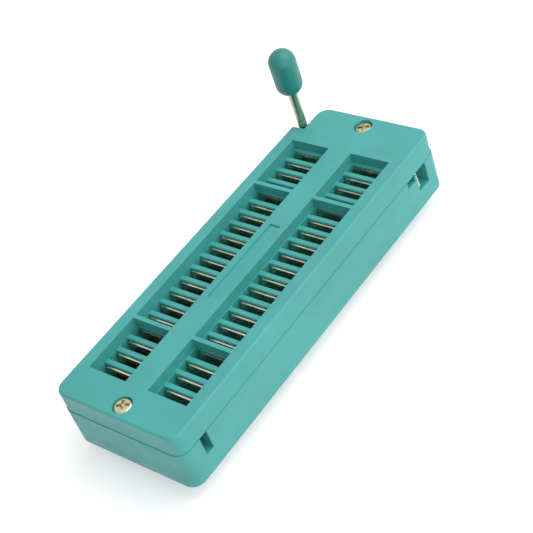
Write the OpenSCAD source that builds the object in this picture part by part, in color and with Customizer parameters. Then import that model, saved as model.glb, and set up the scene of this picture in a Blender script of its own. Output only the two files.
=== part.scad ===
// Zero-insertion-force socket for wide and narrow DIP chips.
// The lever turns a wire crank, the crank draws the slotted slider along, and the
// slider's bars press the chip's legs against the contacts.
// Millimetres. Origin: centre of the body on the seating plane. +Y runs to the
// lever end, +X to the side away from the lever, +Z up.

/* [Contacts] */
// Distance between neighbouring contacts of a row
pitch = 2.54; // [2.5:0.01:2.6]
// Number of contacts in each of the two rows
per_row = 20; // [14:1:24]
// Distance between the two rows of solder tails
row_gap = 15.24; // [14.8:0.01:15.6]
// Thickness of the contact strip
leaf_t = 0.28; // [0.22:0.01:0.32]
// Gap between the tall contact blade and its slot's inner end
leaf_gap_in = 0.35; // [0.2:0.05:1.2]
// Gap between the tall contact blade and its slot's outer end
leaf_gap_out = 0.2; // [0.2:0.05:0.6]
// Radius of the tall blade's upper corners
leaf_r = 0.4; // [0.3:0.1:1.2]
// How far the tall blade's top lies under the slider's top
leaf_sink = 0.37; // [0.3:0.01:0.8]
// Width of the short gripping finger
finger_w = 3; // [2:0.1:4]
// Width of a solder tail
tail_w = 0.5; // [0.4:0.05:0.6]
// Length of a solder tail below the seating plane
tail_l = 3; // [2:0.1:4]

/* [Cover] */
// Height of the cover
cover_h = 3.7; // [3.5:0.1:4.5]
// Thickness of the cover's roof, which is the depth of the windows
roof_t = 1.6; // [1.4:0.05:1.7]
// Width of a window
window_w = 7.15; // [7:0.05:7.5]
// Width of the bar between the two columns of windows
bar_w = 4.2; // [4:0.1:5]
// Width of the rim beside a window
rim_w = 2.25; // [2.2:0.05:3]
// Room in a window before its first and after its last slot
window_margin = 0.25; // [0.1:0.05:0.5]
// Thickness of the ribs between windows
rib_t = 0.7; // [0.5:0.05:0.8]
// Slots in each end window
end_slots = 4; // [2:1:5]
// Body beyond the windows at the near end
near_end = 5.7; // [5.5:0.1:8]
// Body beyond the windows at the lever end
far_end = 8.6; // [8.5:0.1:11]
// Radius of the body's upright corners
corner_r = 2; // [1:0.1:2]
// Radius of the cover's upper edges
edge_r = 0.4; // [0.2:0.05:0.5]
// Width of the sunk panel on the middle bar
panel_w = 1.96; // [1:0.05:2.5]
// Length of the sunk panel
panel_l = 16; // [8:0.5:24]
// Depth of the sunk panel
panel_sink = 0.25; // [0.1:0.05:0.5]

/* [Base] */
// Height of the base
base_h = 6.7; // [6.5:0.1:7.5]
// How far the base stands out beyond the cover on every side
base_step = 0.1; // [0.05:0.05:0.2]
// Thickness of the floor under the contacts
floor_t = 1; // [0.8:0.1:1.2]
// Gap between a contact and the walls of its cell
cell_gap = 0.12; // [0.05:0.01:0.15]
// Width of the slit in the base's side near the near end
slit_w = 1.5; // [1:0.1:2]
// Height of that slit
slit_h = 3.3; // [2:0.1:4]
// Depth of that slit
slit_deep = 3; // [1:0.5:4]
// Distance of that slit from the near end
slit_from_end = 3.8; // [2.6:0.1:5]

/* [Slider] */
// Thickness of the slider plate
slider_t = 2; // [1.8:0.05:2]
// Width of a slot, along the body
slot_w = 1.64; // [1.6:0.01:1.7]
// Inset of a slot from the window's inner edge
slot_inset = 0.2; // [0.1:0.05:0.4]
// Inset of a slot from the window's outer edge
slot_edge = 0.1; // [0.05:0.05:0.3]
// Size of the bevel round the mouth of a slot
slot_bevel = 0.12; // [0.05:0.01:0.15]
// How far the slots stand ahead of the contacts when the socket is open
slot_shift = 0.1; // [0:0.02:0.12]
// Gap between an open slot's far wall and the tall blade
leaf_gap = 0.1; // [0.06:0.01:0.12]
// Slider plate beyond the windows at the lever end
slider_far = 0.8; // [0.5:0.05:0.8]
// Slider plate beyond the windows at the near end
slider_near = 1.4; // [1.3:0.05:1.6]
// Thickness of a fork prong
prong_t = 1; // [0.8:0.05:1]
// Width of a fork, across the body
fork_w = 3; // [2:0.1:3.2]
// Running gap under and over the slider
slide_gap = 0.05; // [0.03:0.01:0.08]
// Running gap at the slider's sides
side_gap = 0.1; // [0.05:0.01:0.15]
// Gap between the slider's ends and the cover's cavity at the limits of travel
end_gap = 0.25; // [0.2:0.05:0.4]

/* [Lever] */
// Diameter of the lever wire
wire_d = 1.5; // [1.3:0.05:1.5]
// Throw of the crank
crank_r = 0.75; // [0.65:0.05:0.75]
// Length of the slanting piece at each side of a crank pin, along the shaft
jog_l = 0.9; // [0.7:0.05:0.95]
// Bend radius where the arm turns up, on its centre line
arm_bend_r = 0.9; // [0.8:0.05:0.9]
// Distance of the lever shaft from the body's lever end
shaft_from_end = 4.6; // [4.5:0.05:5]
// Length of the middle journal
mid_journal = 3.2; // [2.6:0.1:3.4]
// Length of the crank pin that a fork runs on
pin_l = 4; // [3.6:0.1:4.1]
// Length of the journal beyond the second crank
end_journal = 1.3; // [1:0.1:1.4]
// Running gap round the shaft
journal_gap = 0.05; // [0.03:0.01:0.08]
// Running gap between a crank pin and its fork
fork_gap = 0.08; // [0.06:0.01:0.09]
// Width of the notch that the lever folds into
notch_w = 2.25; // [2.2:0.05:2.25]
// Distance from the notch's near wall to the wire
notch_gap = 0.15; // [0.1:0.01:0.3]
// Radius of the left rim's corner at the notch
notch_r = 0.6; // [0.5:0.1:1]
// Height of the knob's underside above the cover
knob_rise = 6.15; // [5:0.05:12]
// Diameter of the knob
knob_d = 4.4; // [4:0.1:5]
// Length of the knob
knob_l = 8.3; // [7:0.1:10]
// Depth of the wire's seat in the knob
knob_seat = 5.5; // [4:0.1:5.5]

/* [Bearing springs] */
// Thickness of the spring strip
spring_t = 0.3; // [0.2:0.05:0.3]
// Length of the strip's flat leg, along the body
spring_flat = 2.4; // [1.8:0.1:2.4]
// Distance of the strip's bend from the shaft's axis
spring_back = 1.35; // [1.3:0.05:1.4]
// Distance of the left strip's end from the lever notch
spring_left_gap = 0.25; // [0.2:0.05:0.4]
// Distance of the right strip's end from the body's side
spring_inset = 0.2; // [0.1:0.05:0.5]
// Width of the open notch below the right strip's end
relief_w = 1.3; // [1:0.1:1.5]
// Height of that notch
relief_h = 1.2; // [0.8:0.1:1.5]
// Width of the pocket at the shaft's end, along the body
pocket_w = 2.65; // [2.5:0.05:2.8]
// Depth of that pocket from the side
pocket_deep = 2.5; // [2:0.1:2.6]

/* [Screws] */
// Diameter of a screw head
head_d = 2.9; // [2.4:0.1:3]
// Height of a screw head
head_h = 0.8; // [0.7:0.05:0.9]
// Diameter of a screw shank
shank_d = 1.6; // [1.4:0.05:1.7]
// Length of a shank below its head
shank_l = 7; // [6:0.5:7.5]
// Gap round a screw's head
head_gap = 0.08; // [0.04:0.01:0.12]
// Gap round a screw's shank in the base
thread_gap = 0.02; // [0.01:0.01:0.03]
// Distance of the screws from the middle of the body, away from the lever
screw_x = 0.3; // [0:0.1:0.4]
// Distance of the near screw from the near end
near_screw = 2.2; // [2.1:0.05:2.4]
// Distance of the far screw from the lever end
far_screw = 2.3; // [2.2:0.05:2.3]
// How deep the near screw's seat lies
near_seat = 0.8; // [0.8:0.05:1]
// How deep the far screw's seat lies
far_seat = 0.95; // [0.9:0.05:1.2]

/* [Hidden] */
$fn = 48;
eps = 0.01;
wire_r = wire_d / 2;

// Outline of the body
cover_w = bar_w + 2 * window_w + 2 * rim_w;
cover_l = per_row * pitch + 2 * window_margin + near_end + far_end;
far_y = cover_l / 2;
near_y = -cover_l / 2;
side_x = cover_w / 2;
top_z = base_h + cover_h;
ceiling_z = top_z - roof_t;
window_far = far_y - far_end;
window_near = near_y + near_end;
window_in = bar_w / 2;
window_out = window_in + window_w;
row_y = (window_far + window_near) / 2;

// Crank: rest and closed positions lie an equal angle each side of upright
half_turn = 45;
travel = 2 * crank_r * sin(half_turn);
shaft_y = far_y - shaft_from_end;
groove_z = base_h - cover_h + 0.05;
shaft_z = groove_z + journal_gap + wire_r;
pin_y = shaft_y - crank_r * sin(half_turn);
arm_x = -(side_x - notch_w + wire_r + journal_gap * 2);
crank_l = 2 * jog_l + pin_l;
crank_in = mid_journal / 2;
crank_out = crank_in + crank_l;
pin_x = (crank_in + crank_out) / 2;
shaft_end_x = crank_out + end_journal;
bay_gap = wire_r * 0.4;

// Slider and the cavity it runs in
slider_z = base_h + slide_gap;
slider_top = min(slider_z + slider_t, ceiling_z - slide_gap);
cavity_x = window_out + 0.75;
slider_x = cavity_x - side_gap;
slider_y1 = window_far + slider_far;
slider_y0 = window_near - slider_near;
fork_near = pin_y - wire_r - fork_gap - prong_t;
fork_far = pin_y + wire_r + fork_gap + prong_t;
prong_z = shaft_z - 0.05;
fork_arm_w = fork_w + 1;
cavity_y1 = slider_y1 + travel + end_gap;
cavity_y0 = slider_y0 - end_gap;
fork_cavity_y = fork_far + travel + end_gap;
slot_in = window_in + slot_inset;
slot_out = window_out - slot_edge;

// Contacts, measured from the centre of their cell
slot_far = slot_shift + slot_w / 2;
leaf_y = slot_far - leaf_gap - leaf_t / 2;
leaf_top = slider_top - leaf_sink;
leaf_x0 = slot_in + leaf_gap_in;
leaf_x1 = slot_out - leaf_gap_out;
finger_foot = -0.76;
finger_grip = leaf_y - leaf_t - 0.25;
finger_top = base_h - 0.4;
cell_far = leaf_y + leaf_t / 2 + cell_gap;
cell_near = finger_foot - leaf_t / 2 - cell_gap;
tail_x = row_gap / 2;
tail_gap = 0.06;

// Lever notch, bearing springs and screws
notch_x = -(side_x - notch_w);
notch_y = shaft_y - wire_r - notch_gap;
channel_z = shaft_z - wire_r - 0.2;
spring_bend_y = shaft_y - spring_back;
spring_z = base_h - spring_t / 2;
spring_foot_z = shaft_z - 0.3;
spring_foot_y = shaft_y - wire_r - journal_gap - spring_t / 2 - 0.02;
spring_x0 = crank_out + bay_gap;
spring_left_x = notch_x + spring_left_gap;
screw_y = [near_y + near_screw, far_y - far_screw];
screw_seat = [top_z - near_seat, top_z - far_seat];

function two_digits(n) = n < 10 ? str("0", n) : str(n);
contact_names = [for (n = [1 : 2 * per_row]) str("contact_", two_digits(n))];

teal = "#5FBCB6";
steel = "#B9BBB5";
bronze = "#C8B98E";

// ---- shared geometry -------------------------------------------------------

// Points of an arc about c, from angle a0 to a1
function arc(c, r, a0, a1, steps = 6) =
    [for (i = [0 : steps]) let (a = a0 + (a1 - a0) * i / steps)
        [c[0] + r * cos(a), c[1] + r * sin(a)]];

function unit(v) = v / norm(v);
function left_of(v) = [-v[1], v[0]];

// Mitred offset of point i of an open path
function offset_point(path, i, d) =
    let (n = len(path) - 1,
         a = left_of(unit(path[min(i + 1, n)] - path[min(i, n - 1)])),
         b = left_of(unit(path[max(i, 1)] - path[max(i - 1, 0)])),
         m = unit(a + b))
    path[i] + m * d / (m * a);

// Outline of a strip of thickness t that follows a path
function strip_outline(path, t) =
    let (n = len(path) - 1)
    concat([for (i = [0 : n]) offset_point(path, i, t / 2)],
           [for (i = [n : -1 : 0]) offset_point(path, i, -t / 2)]);

// Draws a 2D shape given in (Y, Z) and extrudes it from x0 to x1
module along_x(x0, x1) {
    translate([x0, 0, 0]) rotate([90, 0, 90]) linear_extrude(x1 - x0) children();
}

// Draws a 2D shape given in (X, Z) and extrudes it from y0 to y1
module along_y(y0, y1) {
    translate([0, y1, 0]) rotate([90, 0, 0]) linear_extrude(y1 - y0) children();
}

module box(x0, x1, y0, y1, z0, z1) {
    translate([x0, y0, z0]) cube([x1 - x0, y1 - y0, z1 - z0]);
}

// The same feature on both sides of the body
module both_sides() {
    for (side = [0, 1]) mirror([side, 0, 0]) children();
}

// Block with round upright corners r and, where t > 0, round upper edges t
module rounded_block(x0, x1, y0, y1, z0, z1, r, t) {
    wall = t > 0
        ? concat([[0, z0], [r, z0]], arc([r - t, z1 - t], t, 0, 90), [[0, z1]])
        : [[0, z0], [r, z0], [r, z1], [0, z1]];
    corners = [[x1 - r, y1 - r, 0], [x0 + r, y1 - r, 90],
               [x0 + r, y0 + r, 180], [x1 - r, y0 + r, 270]];
    box(x0 + r, x1 - r, y0 + r, y1 - r, z0, z1);
    for (c = corners)
        translate([c[0], c[1], 0]) rotate(c[2]) rotate_extrude(angle = 90) polygon(wall);
    translate([x1 - r, 0, 0]) along_y(y0 + r, y1 - r) polygon(wall);
    translate([x0 + r, 0, 0]) mirror([1, 0, 0]) along_y(y0 + r, y1 - r) polygon(wall);
    translate([0, y1 - r, 0]) along_x(x0 + r, x1 - r) polygon(wall);
    translate([0, y0 + r, 0]) mirror([0, 1, 0]) along_x(x0 + r, x1 - r) polygon(wall);
}

// ---- contacts --------------------------------------------------------------

// Contact n: 1 to per_row run down the lever side, the rest back up the other side
function contact_side(n) = n <= per_row ? -1 : 1;
function contact_row(n) = n <= per_row ? n - 1 : 2 * per_row - n;
function contact_y(k) = row_y + ((per_row - 1) / 2 - k) * pitch;

// Outline of the tall blade in (X, Z)
function leaf_outline() = concat(
    [[leaf_x0, floor_t], [leaf_x1, floor_t]],
    arc([leaf_x1 - leaf_r, leaf_top - leaf_r], leaf_r, 0, 90),
    arc([leaf_x0 + leaf_r, leaf_top - leaf_r], leaf_r, 90, 180));

// Centre line of the short finger in (Y, Z), from the web up
function finger_path() = [
    [finger_foot, floor_t], [finger_foot, floor_t + 1.6],
    [finger_grip, floor_t + 3.6], [finger_grip, floor_t + 4],
    [finger_grip - 0.45, finger_top]];

// One sheet-metal contact: tall blade, web, short finger and solder tail
module contact_shape() {
    point = tail_w * 0.3;
    along_y(leaf_y - leaf_t / 2, leaf_y + leaf_t / 2) polygon(leaf_outline());
    box(leaf_x0, leaf_x1, finger_foot - leaf_t / 2, leaf_y, floor_t, floor_t + leaf_t);
    along_x(leaf_x1 - finger_w, leaf_x1) polygon(strip_outline(finger_path(), leaf_t));
    along_y(-leaf_t / 2, leaf_t / 2)
        polygon([[tail_x - tail_w / 2, floor_t + leaf_t],
                 [tail_x - tail_w / 2, -tail_l + 2 * point],
                 [tail_x - tail_w / 2 + point, -tail_l],
                 [tail_x + tail_w / 2 - point, -tail_l],
                 [tail_x + tail_w / 2, -tail_l + 2 * point],
                 [tail_x + tail_w / 2, floor_t + leaf_t]]);
}

module contact(n) {
    color(bronze)
    translate([0, contact_y(contact_row(n)), 0])
    mirror([contact_side(n) < 0 ? 1 : 0, 0, 0])
        contact_shape();
}

// ---- base ------------------------------------------------------------------

// Room for one contact, and the slit its tail goes through
module contact_cell() {
    box(leaf_x0 - cell_gap, leaf_x1 + cell_gap, cell_near, cell_far, floor_t, base_h + 1);
    box(tail_x - tail_w / 2 - tail_gap, tail_x + tail_w / 2 + tail_gap,
        -leaf_t / 2 - tail_gap, leaf_t / 2 + tail_gap, -1, floor_t + eps);
}

// Grooves and bays that the shaft and its two cranks turn in
module shaft_room() {
    groove_far = shaft_y + wire_r + journal_gap;
    box(notch_x - eps, side_x - pocket_deep + eps, shaft_y - wire_r - journal_gap,
        groove_far, groove_z, base_h + 1);
    box(spring_left_x - 0.1, side_x - pocket_deep + eps,
        spring_bend_y - spring_t / 2, groove_far, groove_z, base_h + 1);
    both_sides()
        box(crank_in - bay_gap, crank_out + bay_gap, fork_near - end_gap, fork_cavity_y,
            groove_z, base_h + 1);
}

// Floor for the flat legs of the bearing springs
module spring_seats() {
    flat_y = spring_bend_y + spring_t / 2 - spring_flat - spring_t;
    box(spring_left_x - 0.1, -spring_x0 + 0.1, flat_y - 0.05, shaft_y,
        base_h - spring_t, base_h + 1);
    box(spring_x0 - 0.1, side_x + 1, flat_y - 0.05, shaft_y, base_h - spring_t,
        base_h + 1);
    box(side_x - relief_w, side_x + 1, flat_y - 0.05, spring_bend_y - 0.6,
        base_h - relief_h, base_h + 1);
}

module base() {
    out = side_x + base_step;
    color(teal)
    difference() {
        rounded_block(-out, out, near_y - base_step, far_y + base_step, 0, base_h,
                      corner_r, 0);
        for (k = [0 : per_row - 1])
            translate([0, contact_y(k), 0]) both_sides() contact_cell();
        shaft_room();
        spring_seats();
        // Open pocket at the shaft's end
        box(side_x - pocket_deep, out + 1, spring_bend_y - spring_t / 2,
            spring_bend_y - spring_t / 2 + pocket_w, groove_z, base_h + 1);
        // Channel the lever folds into
        box(-out - 1, notch_x, notch_y, far_y + 1, channel_z, base_h + 1);
        // Slit near the near end
        box(out - slit_deep, out + 1, near_y + slit_from_end,
            near_y + slit_from_end + slit_w, base_h - slit_h, base_h + 1);
        for (i = [0, 1])
            translate([screw_x, screw_y[i], screw_seat[i] - shank_l - 0.3])
                cylinder(h = base_h, d = shank_d + 2 * thread_gap);
    }
}

// ---- cover -----------------------------------------------------------------

// Outer form: the left rim stops short of the lever notch
module cover_form() {
    rounded_block(notch_x, side_x, near_y, far_y, base_h, top_z, corner_r, edge_r);
    rounded_block(-side_x, 0, near_y, notch_y - corner_r, base_h, top_z, corner_r,
                  edge_r);
    rounded_block(-side_x, -window_out + window_w / 2, notch_y - 4 * corner_r, notch_y,
                  base_h, top_z, notch_r, edge_r);
}

module windows() {
    end_l = end_slots * pitch + window_margin - rib_t / 2;
    mid_l = (per_row - 2 * end_slots) * pitch - rib_t;
    both_sides() for (w = [[window_near, end_l],
                           [row_y - mid_l / 2, mid_l],
                           [window_far - end_l, end_l]])
        box(window_in, window_out, w[0], w[0] + w[1], ceiling_z - 1, top_z + 1);
}

// Room for the slider plate and its two forks
module slider_room() {
    box(-cavity_x, cavity_x, cavity_y0, cavity_y1, base_h - 1, ceiling_z);
    both_sides()
        box(pin_x - fork_arm_w / 2 - end_gap, pin_x + fork_arm_w / 2 + end_gap,
            cavity_y1 - 1, fork_cavity_y, base_h - 1, ceiling_z);
}

// Ribs that hold the shaft's journals down in their groove
module hold_down(x0, x1) {
    box(x0, x1, shaft_y - wire_r * 0.7, shaft_y + wire_r, shaft_z + wire_r + journal_gap,
        base_h + eps);
}

module screw_hole(i) {
    translate([screw_x, screw_y[i], base_h - 1]) cylinder(h = top_z, d = shank_d + 0.3);
    translate([screw_x, screw_y[i], screw_seat[i]])
        cylinder(h = top_z, d = head_d + 2 * head_gap);
}

module cover() {
    color(teal) {
        difference() {
            cover_form();
            windows();
            slider_room();
            for (i = [0, 1]) screw_hole(i);
            box(-panel_w / 2, panel_w / 2, row_y - panel_l / 2, row_y + panel_l / 2,
                top_z - panel_sink, top_z + 1);
        }
        hold_down(-crank_in + bay_gap, crank_in - bay_gap);
        hold_down(spring_x0, side_x - pocket_deep - 0.1);
        hold_down(spring_left_x, -spring_x0);
    }
}

// ---- slider ----------------------------------------------------------------

// One slot with a bevelled mouth
module slot() {
    b = slot_bevel;
    box(slot_in, slot_out, -slot_w / 2, slot_w / 2, slider_z - 1, slider_top + 1);
    along_x(slot_in, slot_out)
        polygon([[-slot_w / 2 - b, slider_top + eps], [-slot_w / 2, slider_top - b],
                 [slot_w / 2, slider_top - b], [slot_w / 2 + b, slider_top + eps]]);
}

// Arm with two prongs that straddle a crank pin
module fork() {
    box(pin_x - fork_arm_w / 2, pin_x + fork_arm_w / 2, slider_y1 - eps, fork_far,
        slider_z, slider_top);
    for (y = [fork_near, fork_far - prong_t])
        box(pin_x - fork_w / 2, pin_x + fork_w / 2, y, y + prong_t, prong_z,
            slider_z + eps);
}

module slider() {
    color(teal) {
        difference() {
            box(-slider_x, slider_x, slider_y0, slider_y1, slider_z, slider_top);
            for (k = [0 : per_row - 1])
                translate([0, contact_y(k) + slot_shift, 0]) both_sides() slot();
        }
        both_sides() fork();
    }
}

// ---- lever -----------------------------------------------------------------

// Straight pieces of wire from point to point, with a round elbow at each bend
module wire(points) {
    for (i = [1 : len(points) - 1]) {
        leg = points[i] - points[i - 1];
        translate(points[i - 1]) rotate([0, atan2(leg[0], leg[2]), 0])
            cylinder(h = norm(leg), r = wire_r);
        if (i < len(points) - 1) translate(points[i]) sphere(r = wire_r);
    }
}

// Corners of one crank that starts at x and swings out to z
function crank_points(x) = [
    [x, 0, 0], [x + jog_l, 0, crank_r], [x + jog_l + pin_l, 0, crank_r],
    [x + 2 * jog_l + pin_l, 0, 0]];

module lever() {
    arm_top = top_z + knob_rise + knob_seat;
    journal_x = arm_x + arm_bend_r;
    color(steel)
    translate([0, shaft_y, shaft_z]) {
        // Shaft with both cranks, turned back half the lever's swing
        rotate([half_turn, 0, 0])
            wire(concat([[journal_x, 0, 0]], crank_points(-crank_out),
                        crank_points(crank_in), [[shaft_end_x, 0, 0]]));
        // Bend and upright arm
        translate([journal_x, 0, arm_bend_r]) rotate([90, 180, 0])
            rotate_extrude(angle = 90) translate([arm_bend_r, 0]) circle(r = wire_r);
        translate([arm_x, 0, arm_bend_r])
            cylinder(h = arm_top - shaft_z - arm_bend_r, r = wire_r);
    }
}

// Push-on knob: half a knob's outline is revolved, with a blind seat for the wire
module knob() {
    r = knob_d / 2;
    seat_r = wire_r + thread_gap;
    z0 = top_z + knob_rise;
    color(teal)
    translate([arm_x, shaft_y, z0])
        rotate_extrude()
            polygon(concat([for (p = arc([0, r], r, -90, 0, 16)) if (p[0] > seat_r) p],
                           arc([0, knob_l - r], r, 0, 90, 16),
                           [[0, knob_seat], [seat_r, knob_seat],
                            [seat_r, r - sqrt(r * r - seat_r * seat_r)]]));
}

// ---- bearing springs and screws --------------------------------------------

// Bent strip: its flat leg lies on the base, its other leg leans on the shaft
module spring(x0, x1) {
    flat_y = spring_bend_y + spring_t / 2 - spring_flat - spring_t;
    color(steel)
    along_x(x0, x1)
        polygon(strip_outline([[flat_y, spring_z], [spring_bend_y, spring_z],
                               [spring_foot_y, spring_foot_z]], spring_t));
}

// Cross-recess screw with a low domed head and a plain shank
module screw(i) {
    slot_l = head_d * 0.68;
    slot_t = head_d * 0.16;
    color(steel)
    translate([screw_x, screw_y[i], screw_seat[i]])
    difference() {
        rotate_extrude()
            polygon(concat([[0, -shank_l], [shank_d * 0.15, -shank_l],
                            [shank_d / 2, -shank_l + shank_d * 0.8], [shank_d / 2, 0],
                            [head_d / 2, 0], [head_d / 2, head_h * 0.6]],
                           [for (a = [0.8, 0.5, 0]) [head_d / 2 * a,
                            head_h * (0.6 + 0.4 * sqrt(1 - a * a))]]));
        for (a = [0, 90]) rotate(a + 30)
            translate([-slot_l / 2, -slot_t / 2, head_h * 0.35])
                cube([slot_l, slot_t, head_h]);
    }
}

// ---- nodes -----------------------------------------------------------------

base();
cover();
slider();
lever();
knob();
spring(spring_left_x, -spring_x0);  // spring_left
spring(spring_x0, side_x - spring_inset);  // spring_right
screw(0);  // screw_near
screw(1);  // screw_far
for (n = [1 : 2 * per_row])
    contact(n);
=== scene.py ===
"""Looks of the ZIF socket: finishes, soft edges, camera, light and floor. Metres, row frame."""

import math

import bpy
from mathutils import Matrix, Vector


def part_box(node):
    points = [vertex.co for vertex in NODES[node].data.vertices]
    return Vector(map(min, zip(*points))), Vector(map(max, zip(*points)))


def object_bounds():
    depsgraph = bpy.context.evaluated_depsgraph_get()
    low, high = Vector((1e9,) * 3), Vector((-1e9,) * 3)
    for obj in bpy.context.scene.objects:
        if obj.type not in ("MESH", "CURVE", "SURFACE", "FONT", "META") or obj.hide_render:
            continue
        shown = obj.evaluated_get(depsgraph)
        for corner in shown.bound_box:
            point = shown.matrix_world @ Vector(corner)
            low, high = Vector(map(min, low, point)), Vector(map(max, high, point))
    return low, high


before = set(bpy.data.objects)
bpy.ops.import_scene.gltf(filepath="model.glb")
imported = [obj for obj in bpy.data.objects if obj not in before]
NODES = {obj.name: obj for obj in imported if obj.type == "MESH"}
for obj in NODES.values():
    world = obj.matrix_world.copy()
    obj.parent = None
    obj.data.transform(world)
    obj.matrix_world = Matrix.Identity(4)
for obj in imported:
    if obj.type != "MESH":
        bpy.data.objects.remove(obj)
CAD_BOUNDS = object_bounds()
MM = 0.001

CONTACTS = sorted(name for name in NODES if name.startswith("contact_"))
SCREWS = ["screw_near", "screw_far"]
SPRINGS = ["spring_left", "spring_right"]

# Colours as they look under plain white light
TEAL_COVER = (0.285, 0.670, 0.655)
TEAL_BASE = (0.290, 0.665, 0.645)
TEAL_SLIDER = (0.280, 0.670, 0.650)
TEAL_KNOB = (0.150, 0.535, 0.510)
STEEL_WIRE = (0.70, 0.70, 0.62)
STEEL_SPRING = (0.86, 0.83, 0.78)
NICKEL = (0.76, 0.73, 0.62)
TIN_BRONZE = (0.80, 0.78, 0.70)

# Linear values, given to the shaders as they are
WHITE = (1, 1, 1, 1)
FLOOR_WHITE = (0.86, 0.86, 0.86, 1)

# Plastic: how rough it is, and the sizes of its marks
SATIN = 0.42
KNOB_SATIN = 0.34
PLASTIC_IOR = 1.5
CLOUD_SIZE = 9 * MM
SPECK_SIZE = 0.35 * MM
GLOSS_SIZE = 1.8 * MM
GRAIN_SIZE = 0.16 * MM
GRAIN_DEPTH = 0.006 * MM
WAVE_SIZE = 5 * MM
WAVE_DEPTH = 0.03 * MM

# Metal: how rough it is, the sizes of its marks, and which way its lines run
WIRE_ROUGH = 0.24
SPRING_ROUGH = 0.25
PLATED_ROUGH = 0.22
DULL_RISE = 0.12
PATCH_SIZE = 1.6 * MM
DULL_SIZE = 0.9 * MM
LINE_SIZE = 0.5 * MM
LINE_DEPTH = 0.004 * MM
ALONG_X = (0.05, 1, 1)
ALONG_Z = (1, 1, 0.05)
NO_LINES = (1, 1, 1)

# Soft edges
BODY_EDGE = 0.12 * MM
SLIDER_EDGE = 0.08 * MM
FLAT_DEGREES = 0.5
SHARP_DEGREES = 30

# Camera: its angles in degrees, and the point of the cover's top that it looks at
AZIMUTH, ELEVATION, ROLL = 50.55, 40.91, -21.3
AIM_X, AIM_Y = 4.0 * MM, -1.22 * MM
DISTANCE = 194.2 * MM
LENS = 90.86
SENSOR = 36.0
NEAR_CLIP = 0.005

# Light: strengths that light the object, and strengths that are seen
WORLD_LIGHT = 0.42
WORLD_SEEN = 1.0
FLOOR_LIGHT = 0.0
FLOOR_SEEN = 0.42
FLOOR_ROUGH = 0.9
FLOOR_REACH = 0.6


# ---- small helpers ---------------------------------------------------------

def linear(colour):
    """Display colour to the linear values that shaders take."""
    return tuple(c / 12.92 if c <= 0.04045 else ((c + 0.055) / 1.055) ** 2.4 for c in colour) + (1.0,)


def shade(colour, factor):
    """The same display colour, darker or lighter."""
    return tuple(min(1.0, c * factor) for c in colour)


class Graph:
    """A material's node tree with short calls for the nodes used here."""

    def __init__(self, name):
        self.material = bpy.data.materials.new(name)
        self.material.use_nodes = True
        self.nodes = self.material.node_tree.nodes
        self.links = self.material.node_tree.links
        self.shader = self.nodes["Principled BSDF"]
        self.place = self.nodes.new("ShaderNodeTexCoord").outputs["Object"]

    def set(self, **values):
        """Gives shader inputs plain values; _ in a name stands for a space."""
        for name, value in values.items():
            self.shader.inputs[name.replace("_", " ")].default_value = value

    def plug(self, output, name):
        """Feeds a shader input from a node."""
        self.links.new(output, self.shader.inputs[name])

    def noise(self, size, detail=4.0, rough=0.55, stretch=NO_LINES):
        """Noise whose lumps are about size metres across."""
        mapping = self.nodes.new("ShaderNodeMapping")
        mapping.inputs["Scale"].default_value = stretch
        self.links.new(self.place, mapping.inputs["Vector"])
        node = self.nodes.new("ShaderNodeTexNoise")
        node.inputs["Scale"].default_value = 1.0 / size
        node.inputs["Detail"].default_value = detail
        node.inputs["Roughness"].default_value = rough
        self.links.new(mapping.outputs["Vector"], node.inputs["Vector"])
        return node.outputs["Fac"]

    def ramp(self, value, low, high, start=0.35, end=0.65):
        """Maps a value to a range, clamped at both ends."""
        node = self.nodes.new("ShaderNodeMapRange")
        node.inputs["From Min"].default_value = start
        node.inputs["From Max"].default_value = end
        node.inputs["To Min"].default_value = low
        node.inputs["To Max"].default_value = high
        self.links.new(value, node.inputs["Value"])
        return node.outputs["Result"]

    def mix(self, factor, a, b):
        """Colour between a and b; either may be a colour or an output."""
        node = self.nodes.new("ShaderNodeMix")
        node.data_type = "RGBA"
        self.links.new(factor, node.inputs["Factor"])
        for socket, colour in ((node.inputs["A"], a), (node.inputs["B"], b)):
            if isinstance(colour, bpy.types.NodeSocket):
                self.links.new(colour, socket)
            else:
                socket.default_value = linear(colour)
        return node.outputs["Result"]

    def bump(self, height, depth, strength=1.0, under=None):
        """Bump of depth metres from a 0 to 1 height, on top of another bump if one is given."""
        node = self.nodes.new("ShaderNodeBump")
        node.inputs["Strength"].default_value = strength
        node.inputs["Distance"].default_value = depth
        self.links.new(height, node.inputs["Height"])
        if under is not None:
            self.links.new(under, node.inputs["Normal"])
        return node.outputs["Normal"]


# ---- materials -------------------------------------------------------------

def moulded_plastic(name, colour, roughness=SATIN):
    """Injection-moulded plastic: fine satin texture, faint flow clouds and dark specks."""
    g = Graph(name)
    clouds = g.ramp(g.noise(CLOUD_SIZE, 3.0), 0.0, 1.0, 0.3, 0.7)
    base = g.mix(clouds, shade(colour, 0.965), shade(colour, 1.03))
    specks = g.ramp(g.noise(SPECK_SIZE, 2.0), 0.0, 0.35, 0.62, 0.75)
    g.plug(g.mix(specks, base, shade(colour, 0.90)), "Base Color")
    g.plug(g.ramp(g.noise(GLOSS_SIZE, 5.0), roughness - 0.07, roughness + 0.09), "Roughness")
    grain = g.bump(g.noise(GRAIN_SIZE, 3.0), GRAIN_DEPTH)
    g.plug(g.bump(g.noise(WAVE_SIZE, 2.0), WAVE_DEPTH, 0.6, grain), "Normal")
    g.set(IOR=PLASTIC_IOR)
    return g.material


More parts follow.
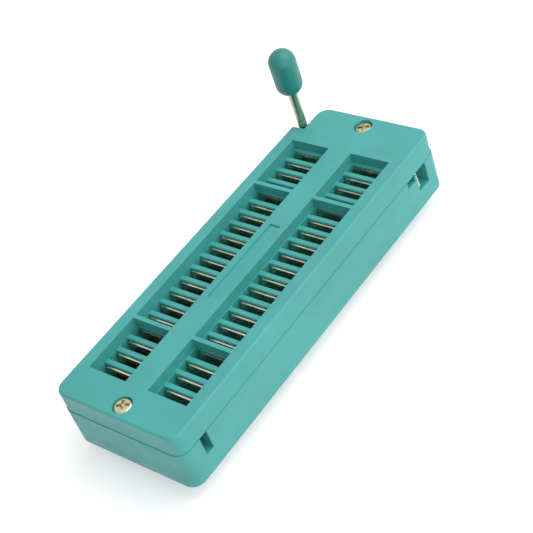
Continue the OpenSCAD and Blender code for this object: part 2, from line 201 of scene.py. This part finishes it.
def drawn_steel(name, colour, roughness, lines):
    """Bright metal with fine lines one way and dull handled patches."""
    g = Graph(name)
    patches = g.ramp(g.noise(PATCH_SIZE, 4.0), 0.0, 1.0)
    g.plug(g.mix(patches, shade(colour, 0.88), shade(colour, 1.06)), "Base Color")
    g.plug(g.ramp(g.noise(DULL_SIZE, 5.0), roughness - 0.06, roughness + DULL_RISE), "Roughness")
    g.plug(g.bump(g.noise(LINE_SIZE, 4.0, 0.6, lines), LINE_DEPTH), "Normal")
    g.set(Metallic=1.0)
    return g.material


def dress(names, material):
    """Gives CAD nodes their finish."""
    for name in names:
        mesh = NODES[name].data
        mesh.materials.clear()
        mesh.materials.append(material)


def soften(name, width):
    """Merges a node's flat triangles and rounds its sharp edges, as modifiers only."""
    node = NODES[name]
    flat = node.modifiers.new("flat_faces", "DECIMATE")
    flat.decimate_type = "DISSOLVE"
    flat.angle_limit = math.radians(FLAT_DEGREES)
    bevel = node.modifiers.new("soft_edges", "BEVEL")
    bevel.width = width
    bevel.segments = 2
    bevel.limit_method = "ANGLE"
    bevel.angle_limit = math.radians(SHARP_DEGREES)
    bevel.harden_normals = True


# ---- camera, light and floor -----------------------------------------------

def add_camera():
    """The camera looks down on the near right corner, with the picture turned."""
    azimuth, elevation, roll = (math.radians(a) for a in (AZIMUTH, ELEVATION, ROLL))
    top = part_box("cover")[1][2]
    look = Vector((-math.sin(azimuth) * math.cos(elevation),
                   math.cos(azimuth) * math.cos(elevation), -math.sin(elevation)))
    data = bpy.data.cameras.new("camera")
    data.lens = LENS
    data.sensor_width = SENSOR
    data.clip_start = NEAR_CLIP
    camera = bpy.data.objects.new("camera", data)
    camera.matrix_world = (Matrix.Translation(Vector((AIM_X, AIM_Y, top)) - look * DISTANCE)
                           @ look.to_track_quat("-Z", "Y").to_matrix().to_4x4()
                           @ Matrix.Rotation(roll, 4, "Z"))
    bpy.context.collection.objects.link(camera)
    bpy.context.scene.camera = camera


def add_area_light(name, place, size, power):
    """A square soft light at place, aimed at the frame's origin."""
    data = bpy.data.lights.new(name, "AREA")
    data.energy = power
    data.size = size
    light = bpy.data.objects.new(name, data)
    light.location = place
    light.rotation_euler = (-Vector(place)).to_track_quat("-Z", "Y").to_euler()
    bpy.context.collection.objects.link(light)


def seen_level(nodes, links, unseen, seen):
    """A strength that is seen for camera and mirror rays, and unseen for the rest."""
    path = nodes.new("ShaderNodeLightPath")
    most = nodes.new("ShaderNodeMath")
    most.operation = "MAXIMUM"
    links.new(path.outputs["Is Camera Ray"], most.inputs[0])
    links.new(path.outputs["Is Glossy Ray"], most.inputs[1])
    level = nodes.new("ShaderNodeMapRange")
    level.inputs["To Min"].default_value = unseen
    level.inputs["To Max"].default_value = seen
    links.new(most.outputs[0], level.inputs["Value"])
    return level.outputs["Result"]


def add_world():
    """Even pale surroundings, seen white by the camera and in reflections."""
    world = bpy.data.worlds.new("surroundings")
    bpy.context.scene.world = world
    world.use_nodes = True
    nodes, links = world.node_tree.nodes, world.node_tree.links
    background = nodes["Background"]
    links.new(seen_level(nodes, links, WORLD_LIGHT, WORLD_SEEN), background.inputs["Strength"])
    background.inputs["Color"].default_value = WHITE


def add_floor():
    """A plain white floor under the solder tails."""
    low = CAD_BOUNDS[0][2]
    r = FLOOR_REACH
    mesh = bpy.data.meshes.new("floor")
    mesh.from_pydata([(-r, -r, low), (r, -r, low), (r, r, low), (-r, r, low)], [], [(0, 1, 2, 3)])
    floor = bpy.data.objects.new("floor", mesh)
    bpy.context.collection.objects.link(floor)
    g = Graph("floor_white")
    g.set(Base_Color=FLOOR_WHITE, Roughness=FLOOR_ROUGH, Emission_Color=WHITE)
    g.plug(seen_level(g.nodes, g.links, FLOOR_LIGHT, FLOOR_SEEN), "Emission Strength")
    mesh.materials.append(g.material)


# ---- the socket ------------------------------------------------------------

dress(["cover"], moulded_plastic("cover_plastic", TEAL_COVER))
dress(["base"], moulded_plastic("base_plastic", TEAL_BASE))
dress(["slider"], moulded_plastic("slider_plastic", TEAL_SLIDER))
dress(["knob"], moulded_plastic("knob_plastic", TEAL_KNOB, KNOB_SATIN))
dress(["lever"], drawn_steel("lever_steel", STEEL_WIRE, WIRE_ROUGH, ALONG_Z))
dress(SPRINGS, drawn_steel("spring_steel", STEEL_SPRING, SPRING_ROUGH, ALONG_X))
dress(SCREWS, drawn_steel("screw_nickel", NICKEL, PLATED_ROUGH, NO_LINES))
dress(CONTACTS, drawn_steel("contact_metal", TIN_BRONZE, PLATED_ROUGH, ALONG_X))

soften("cover", BODY_EDGE)
soften("base", BODY_EDGE)
soften("slider", SLIDER_EDGE)

add_camera()
add_world()
add_floor()
add_area_light("key", (0.14, 0.16, 0.34), 0.45, 1.2)
add_area_light("fill", (0.34, -0.10, 0.18), 0.40, 0.45)

bpy.context.scene.view_settings.view_transform = "Standard"
